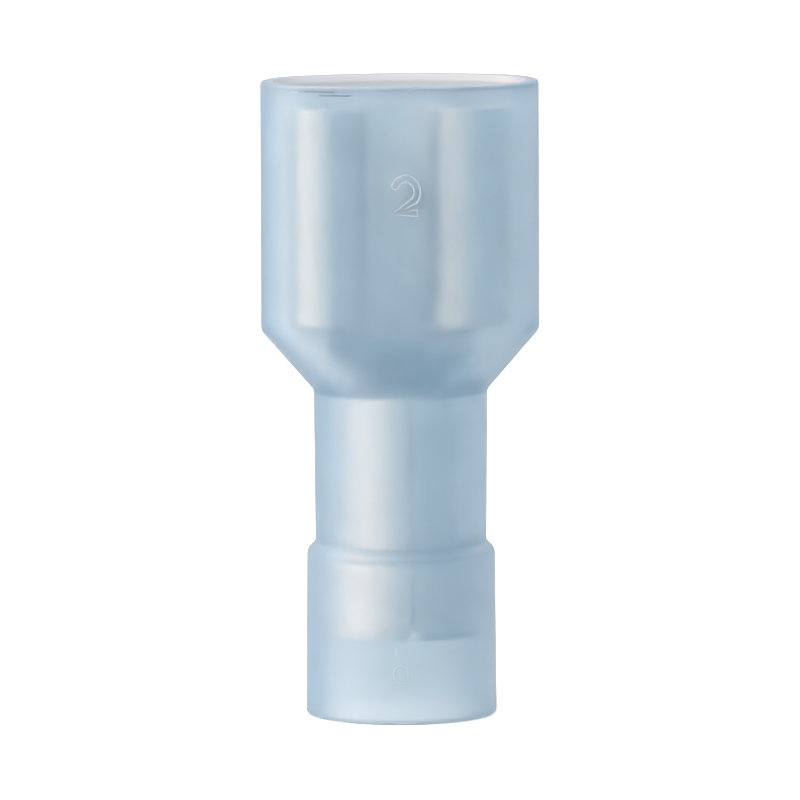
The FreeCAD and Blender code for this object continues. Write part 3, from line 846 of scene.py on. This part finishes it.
# Pale nylon for the gate and the flow line also paints a highlight under the rim, and the dark
# nylon paints shade there.
pale_nylon = nylon_material("pale nylon and painted highlight", 0.5, (0.65, 0.81, 0.93), (0.71, 0.85, 0.95))
shade_nylon = nylon_material("nylon with painted shade", 0.3, (0.24, 0.42, 0.6), (0.3, 0.48, 0.66))
finishes = ((housing, nylon), (digit, mark_nylon), (flow, pale_nylon), (gate, pale_nylon),
            (rim_highlight, pale_nylon), (upper_shade_line, shade_nylon), (lower_shade_line, shade_nylon))
for piece, material in finishes:
    piece.data.materials.append(material)
print(len(finishes), "pieces of nylon have their finish")

# %% [markdown]
# ## Tin-plated strip
#
# The receptacle is brass and the sleeve is copper, and both are plated with tin, which looks
# like soft silver with a trace of warmth. Rolled strip shows very fine lines along the way it
# was rolled, and tin dulls in faint clouds, so the roughness varies in both ways. The numbers
# on the points paint shade into its colour in the receptacle's bowl and hollows, darken the
# sleeve towards its cut end, and make it rougher where it was scuffed.

# %% Tin materials
# The colour that painted shade, and the sleeve's darker end, take the tin to.
PAINTED_DARK_TIN = (0.16, 0.25, 0.32)
SCUFF_ROUGHNESS = 0.3


def tin_material(name, low, high, roughness, grain):
    """Tin plate, from its two colours, its roughness and the stretch of its rolling lines."""
    material, tree, shader = new_material(name)
    cloud = place_group(tree, cloudy, Size=1.1, Detail=3.0, Amount=0.16)
    lines = place_group(tree, cloudy, Size=0.16, Detail=3.0, Amount=0.1, Stretch=grain)
    plate = tinted(tree, cloud.outputs["Factor"], low, high)
    # Painted shade from the points darkens the plate's colour.
    tree.links.new(blended(tree, point_number(tree, PAINTED_DARKENING), plate, PAINTED_DARK_TIN),
                   shader.inputs["Base Color"])
    scuff = point_number(tree, SCUFFED)
    rougher = math_node(tree, "MULTIPLY_ADD", scuff, SCUFF_ROUGHNESS, roughness)
    uneven = math_node(tree, "ADD", cloud.outputs["Shift"], lines.outputs["Shift"])
    tree.links.new(math_node(tree, "ADD", uneven, rougher), shader.inputs["Roughness"])
    tree.links.new(bumped(tree, lines.outputs["Factor"], 0.25, 0.01 * MM), shader.inputs["Normal"])
    shader.inputs["Metallic"].default_value = 1.0
    return material


tinned_brass = tin_material("tin on brass", (0.7, 0.69, 0.66), (0.8, 0.79, 0.76),
                            roughness=0.33, grain=(1, 1, 0.08))
tinned_copper = tin_material("tin on copper", (0.72, 0.7, 0.67), (0.82, 0.8, 0.77),
                             roughness=0.42, grain=(1, 1, 0.3))
receptacle.data.materials.append(tinned_brass)
sleeve.data.materials.append(tinned_copper)
print("Materials:", tinned_brass.name, "and", tinned_copper.name)

# %% [markdown]
# ## The pale floor
#
# The terminal stands on a plain pale floor that fills the whole picture. To the camera it
# also gives a little light of its own, so that it comes out white, yet its own shading stays
# on top of that and keeps the soft shadow under the terminal.

# %% Floor
FLOOR_HALF = 1.5


def floor_material():
    """A matt pale floor that gives a little light of its own to the camera."""
    material, tree, shader = new_material("pale floor")
    grain = place_group(tree, cloudy, Size=6.0, Detail=2.0, Amount=0.1)
    tree.links.new(tinted(tree, grain.outputs["Factor"], (0.78, 0.78, 0.78), (0.8, 0.8, 0.8)),
                   shader.inputs["Base Color"])
    shader.inputs["Roughness"].default_value = 0.9
    shader.inputs["Specular IOR Level"].default_value = 0.1
    seen = tree.nodes.new("ShaderNodeLightPath")
    shader.inputs["Emission Color"].default_value = (1, 1, 1, 1)
    tree.links.new(math_node(tree, "MULTIPLY", seen.outputs["Is Camera Ray"], 0.55),
                   shader.inputs["Emission Strength"])
    return material


corner_signs = ((-1, -1), (1, -1), (1, 1), (-1, 1))
floor_corners = [(FLOOR_HALF * x, FLOOR_HALF * y, 0) for x, y in corner_signs]
floor_mesh = bpy.data.meshes.new("floor")
floor_mesh.from_pydata(floor_corners, [], [(0, 1, 2, 3)])
floor = bpy.data.objects.new("floor", floor_mesh)
scene.collection.objects.link(floor)
floor.data.materials.append(floor_material())
floor.location.z = -0.01 * MM
floor.visible_glossy = False
floor.visible_transmission = False
print("The floor is", 2 * FLOOR_HALF, "m wide")

# %% [markdown]
# ## Light
#
# Curved metal shows its room more than its own colour. In the photograph each curl is bright
# on its left and dark on its right, with a soft change where it faces the camera. So the room
# is dim to the right of the camera, rises in front of it to a warm bright zone on the left,
# and is pale behind the terminal. Upwards the zones lean to the left and the front, so slopes
# that face up catch some of the bright one. A sky of one colour would be simpler, but the
# metal would look flat in it.
#
# Light that comes straight through the nylon, with no reflection on its way, sees a plain
# white room instead. Without that, the walls would show the bright zone as a glaring patch
# from the side.

# %% The room
BEHIND, DIM, BRIGHT = (0.86, 0.86, 0.87), (0.82, 0.93, 1.04), (3.25, 2.65, 2.35)
# bearing from the front round to the left, and the colour there
ROOM_STOPS = [(-180, BEHIND), (-110, BEHIND), (-80, DIM), (-28, DIM), (0, (0.98, 1.03, 1.1)),
              (30, (2.15, 1.92, 1.78)), (58, BRIGHT), (84, BRIGHT), (124, (0.62, 0.67, 0.74)),
              (165, BEHIND)]
LEAN_LEFT, LEAN_FORWARD = 0.45, 0.8


def room():
    """A world of soft zones for reflections, and plain white for light that comes straight."""
    world = bpy.data.worlds.new("room")
    world.use_nodes = True
    tree = world.node_tree
    tree.nodes.clear()
    place = tree.nodes.new("ShaderNodeTexCoord").outputs["Generated"]
    parts = tree.nodes.new("ShaderNodeSeparateXYZ")
    tree.links.new(place, parts.inputs[0])
    above = math_node(tree, "POWER", math_node(tree, "MAXIMUM", parts.outputs["Z"], 0.0), 2.0)
    left = math_node(tree, "SUBTRACT", math_node(tree, "MULTIPLY", above, LEAN_LEFT),
                     parts.outputs["X"])
    forward = math_node(tree, "SUBTRACT", math_node(tree, "MULTIPLY", above, LEAN_FORWARD),
                        parts.outputs["Y"])
    bearing = math_node(tree, "ARCTAN2", left, forward)
    turned = math_node(tree, "MULTIPLY_ADD", bearing, 1 / (2 * math.pi), 0.5)
    ramp = tree.nodes.new("ShaderNodeValToRGB")
    elements = ramp.color_ramp.elements
    while len(elements) < len(ROOM_STOPS):
        elements.new(0.5)
    for element, (degrees, colour) in zip(elements, ROOM_STOPS):
        element.position = degrees / 360 + 0.5
        element.color = (*colour, 1)
    tree.links.new(turned, ramp.inputs[0])
    lit = tree.nodes.new("ShaderNodeBackground")
    tree.links.new(ramp.outputs[0], lit.inputs["Color"])
    lit.inputs["Strength"].default_value = 1.0
    plain = tree.nodes.new("ShaderNodeBackground")
    plain.inputs["Color"].default_value = (1, 1, 1, 1)
    seen = tree.nodes.new("ShaderNodeLightPath")
    tree.links.new(math_node(tree, "MULTIPLY_ADD", seen.outputs["Is Camera Ray"], 0.06, 0.94),
                   plain.inputs["Strength"])
    bounces = math_node(tree, "ADD", seen.outputs["Glossy Depth"], seen.outputs["Diffuse Depth"])
    choose = tree.nodes.new("ShaderNodeMixShader")
    tree.links.new(math_node(tree, "LESS_THAN", bounces, 0.5), choose.inputs[0])
    tree.links.new(lit.outputs[0], choose.inputs[1])
    tree.links.new(plain.outputs[0], choose.inputs[2])
    output = tree.nodes.new("ShaderNodeOutputWorld")
    tree.links.new(choose.outputs[0], output.inputs["Surface"])
    return world


scene.world = room()
print("World:", scene.world.name)

# %% The lamp
LAMP_AIM = Vector((0, 0, 11 * MM))


def soft_lamp(name, place, size, watts):
    """A square lamp that faces the middle of the terminal."""
    lamp = bpy.data.lights.new(name, "AREA")
    lamp.shape = "SQUARE"
    lamp.size = size
    lamp.energy = watts
    holder = bpy.data.objects.new(name, lamp)
    scene.collection.objects.link(holder)
    holder.location = place
    towards = LAMP_AIM - holder.location
    holder.rotation_euler = towards.to_track_quat("-Z", "Y").to_euler()
    return holder


key_lamp = soft_lamp("window_left", (-0.42, -0.3, 0.3), size=0.35, watts=0.3)
print("Lamp:", key_lamp.name, key_lamp.data.energy, "W")

# %% [markdown]
# ## Camera
#
# The photograph was taken from about three quarters of a metre with a very long lens, a
# little to the left of the middle and slightly from above, and the camera was tipped by a
# fifth of a degree. A long lens keeps the housing's sides parallel, as they are in the picture.

# %% The camera
view_settings = scene.view_settings
view_settings.view_transform = "Standard"
CAMERA_TURN = math.radians(-3.4)
CAMERA_REACH = 0.746
CAMERA_HEIGHT = 0.103
CAMERA_TIP = math.radians(-0.2)
lens = bpy.data.cameras.new("long_lens")
lens.sensor_width = 36
lens.lens = 982
camera = bpy.data.objects.new("camera", lens)
scene.collection.objects.link(camera)
camera.location = (CAMERA_REACH * math.sin(CAMERA_TURN), -CAMERA_REACH * math.cos(CAMERA_TURN),
                   CAMERA_HEIGHT)
aim = Vector((-0.00002, 0, 0.01087))
straight = (aim - camera.location).to_track_quat("-Z", "Y")
camera.rotation_euler = (straight @ Quaternion((0, 0, 1), CAMERA_TIP)).to_euler()
scene.camera = camera
print("Camera", round((aim - camera.location).length, 3), "m away")
